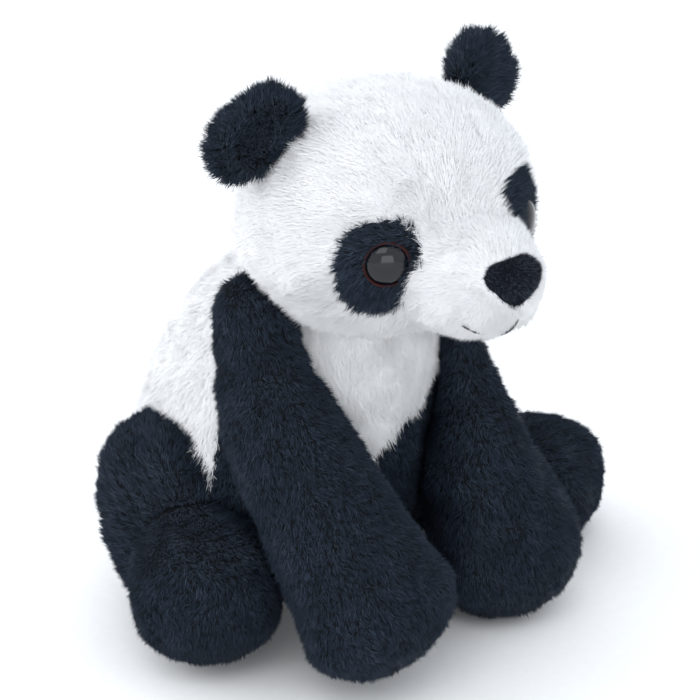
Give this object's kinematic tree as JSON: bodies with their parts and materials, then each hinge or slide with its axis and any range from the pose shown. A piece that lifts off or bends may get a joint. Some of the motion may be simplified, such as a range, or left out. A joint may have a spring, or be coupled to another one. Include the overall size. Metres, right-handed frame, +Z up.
{
  "type": "sitting plush panda",
  "caption": "Sitting plush panda with a turning and nodding head, flexing ears and tail, and arms and legs that swing.",
  "frame": {"origin": "centre of the flat seat under the torso, on the surface the toy sits on", "axes": "+Z up, -Y the way the face looks, +X the toy's own left"},
  "size_m": [0.2007, 0.188, 0.2047],
  "materials": {
    "white_pile": "matte",
    "black_pile": "matte",
    "eye_lens": "gloss",
    "black_plastic": "satin",
    "washer": "satin",
    "nose_flock": "matte",
    "thread": "matte",
    "closing_thread": "matte",
    "stuffing": "matte",
    "pellets": "matte"
  },
  "bodies": {
    "torso": {"chest_panel": "white_pile", "back_panel_left": "white_pile", "back_panel_right": "white_pile", "seat_panel": "white_pile", "torso_stuffing": "stuffing", "pellet_pouch": "pellets", "back_closing_stitches": "closing_thread"},
    "neck": {"neck_plug": "stuffing"},
    "head": {"head_side_left": "white_pile", "head_side_right": "white_pile", "head_gusset": "white_pile", "chin_panel": "white_pile", "muzzle_cover": "white_pile", "head_stuffing": "stuffing", "eye_left_patch": "black_pile", "eye_left_back": "black_plastic", "eye_left_lens": "eye_lens", "eye_left_washer": "washer", "eye_right_patch": "black_pile", "eye_right_back": "black_plastic", "eye_right_lens": "eye_lens", "eye_right_washer": "washer", "nose": "nose_flock", "nose_washer": "washer", "mouth_stitches": "thread"},
    "ear_left": {"ear_left_front": "black_pile", "ear_left_back": "black_pile"},
    "ear_right": {"ear_right_front": "black_pile", "ear_right_back": "black_pile"},
    "arm_left": {"arm_left_outer": "black_pile", "arm_left_inner": "black_pile", "arm_left_sole": "black_pile", "arm_left_stuffing": "stuffing"},
    "arm_right": {"arm_right_outer": "black_pile", "arm_right_inner": "black_pile", "arm_right_sole": "black_pile", "arm_right_stuffing": "stuffing"},
    "leg_left": {"leg_left_thigh": "black_pile", "leg_left_foot": "black_pile", "leg_left_sole": "black_pile", "leg_left_stuffing": "stuffing"},
    "leg_right": {"leg_right_thigh": "black_pile", "leg_right_foot": "black_pile", "leg_right_sole": "black_pile", "leg_right_stuffing": "stuffing"},
    "tail": {"tail_cover": "white_pile", "tail_stuffing": "stuffing"}
  },
  "joints": [
    {"name": "neck_turn", "type": "hinge", "parent": "torso", "child": "neck", "pos_m": [0, -0.046, 0.112], "axis": [0, 0, 1], "range_deg": [-25, 25], "stiffness_Nm_per_rad": 0.02},
    {"name": "neck_nod", "type": "hinge", "parent": "neck", "child": "head", "pos_m": [0, -0.046, 0.112], "axis": [1, 0, 0], "range_deg": [-8, 10], "stiffness_Nm_per_rad": 0.6},
    {"name": "ear_left_flex", "type": "hinge", "parent": "head", "child": "ear_left", "pos_m": [0.0375, -0.0482, 0.1786], "axis": [0.7912, 0.212, -0.5736], "range_deg": [-15, 15], "stiffness_Nm_per_rad": 0.01},
    {"name": "ear_right_flex", "type": "hinge", "parent": "head", "child": "ear_right", "pos_m": [-0.0375, -0.0482, 0.1786], "axis": [0.7912, -0.212, 0.5736], "range_deg": [-15, 15], "stiffness_Nm_per_rad": 0.01},
    {"name": "arm_left_swing", "type": "hinge", "parent": "torso", "child": "arm_left", "pos_m": [0.03, -0.052, 0.1], "axis": [-1, 0, 0], "range_deg": [0, 40], "stiffness_Nm_per_rad": 0.01},
    {"name": "arm_right_swing", "type": "hinge", "parent": "torso", "child": "arm_right", "pos_m": [-0.038, -0.036, 0.102], "axis": [-1, 0, 0], "range_deg": [0, 40], "stiffness_Nm_per_rad": 0.01},
    {"name": "leg_left_swing", "type": "hinge", "parent": "torso", "child": "leg_left", "pos_m": [0.057, -0.003, 0.03], "axis": [0, 0, 1], "range_deg": [0, 30], "stiffness_Nm_per_rad": 0.01},
    {"name": "leg_right_swing", "type": "hinge", "parent": "torso", "child": "leg_right", "pos_m": [-0.048, 0, 0.038], "axis": [0, 0, -1], "range_deg": [0, 30], "stiffness_Nm_per_rad": 0.01},
    {"name": "tail_flex", "type": "hinge", "parent": "torso", "child": "tail", "pos_m": [0, 0.05, 0.026], "axis": [1, 0, 0], "range_deg": [-10, 10], "stiffness_Nm_per_rad": 0.005}
  ]
}
